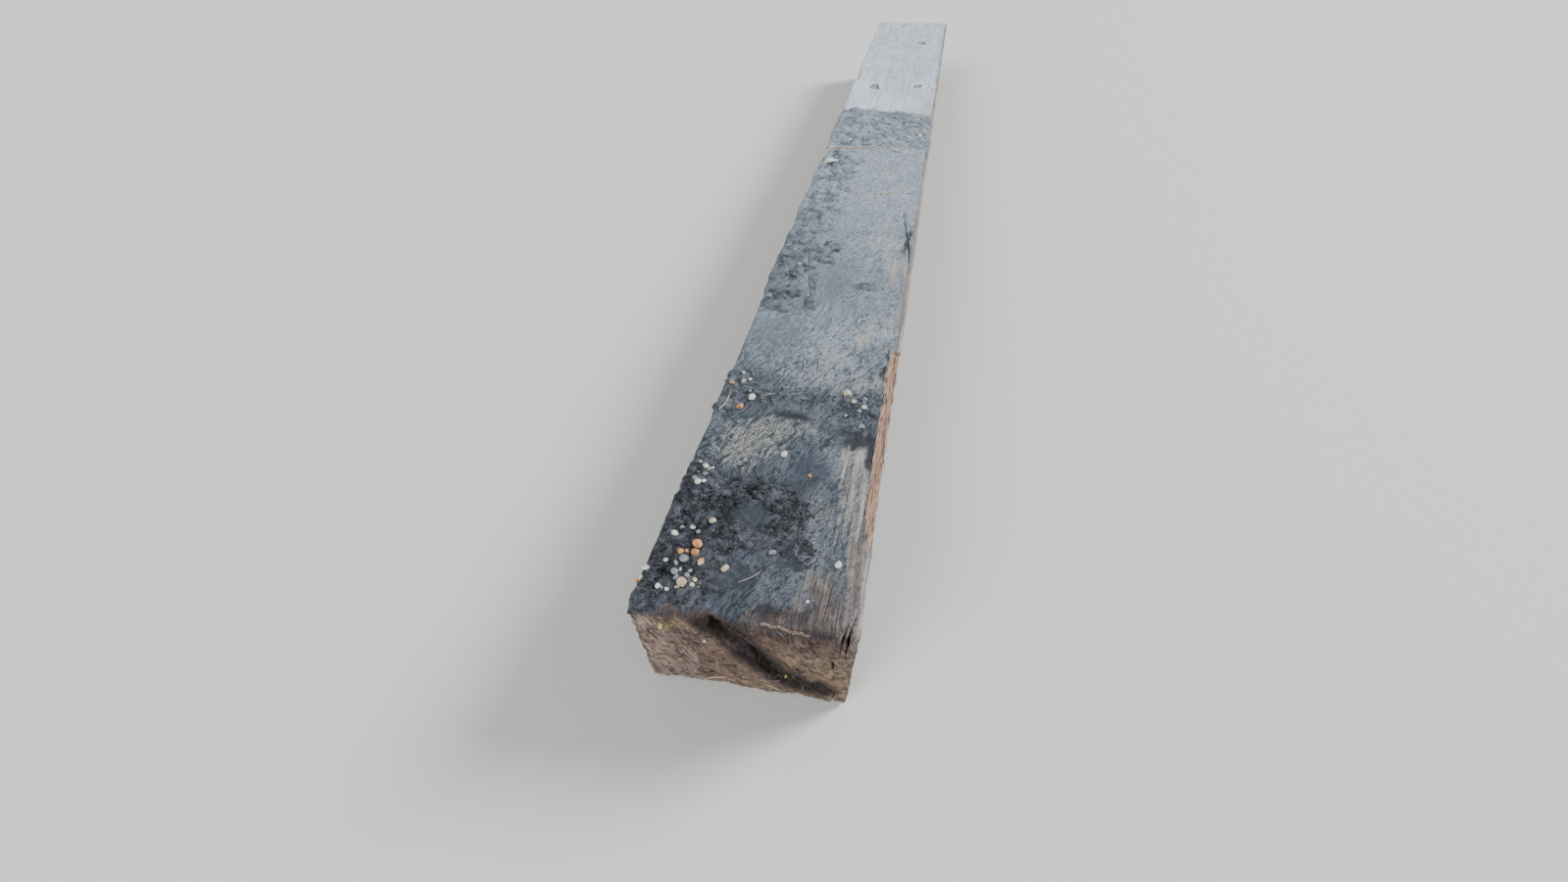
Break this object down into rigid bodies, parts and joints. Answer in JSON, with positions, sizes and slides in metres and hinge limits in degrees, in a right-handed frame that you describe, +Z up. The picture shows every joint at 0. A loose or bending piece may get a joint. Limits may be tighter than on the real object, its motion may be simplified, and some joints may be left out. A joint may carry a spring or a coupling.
{
  "type": "hardwood beam",
  "caption": "Heavy rectangular sawn hardwood beam with worn arrises, drying checks, a torn splinter scar and a decayed end.",
  "frame": {"origin": "middle of the rectangle that the beam covers, on its underside", "axes": "+Z up, +Y along the beam away from its decayed end, +X towards the side with the splinter scar"},
  "size_m": [0.3, 3, 0.22],
  "materials": {
    "hardwood": "matte"
  },
  "bodies": {
    "root": {"beam": "hardwood"}
  },
  "joints": []
}
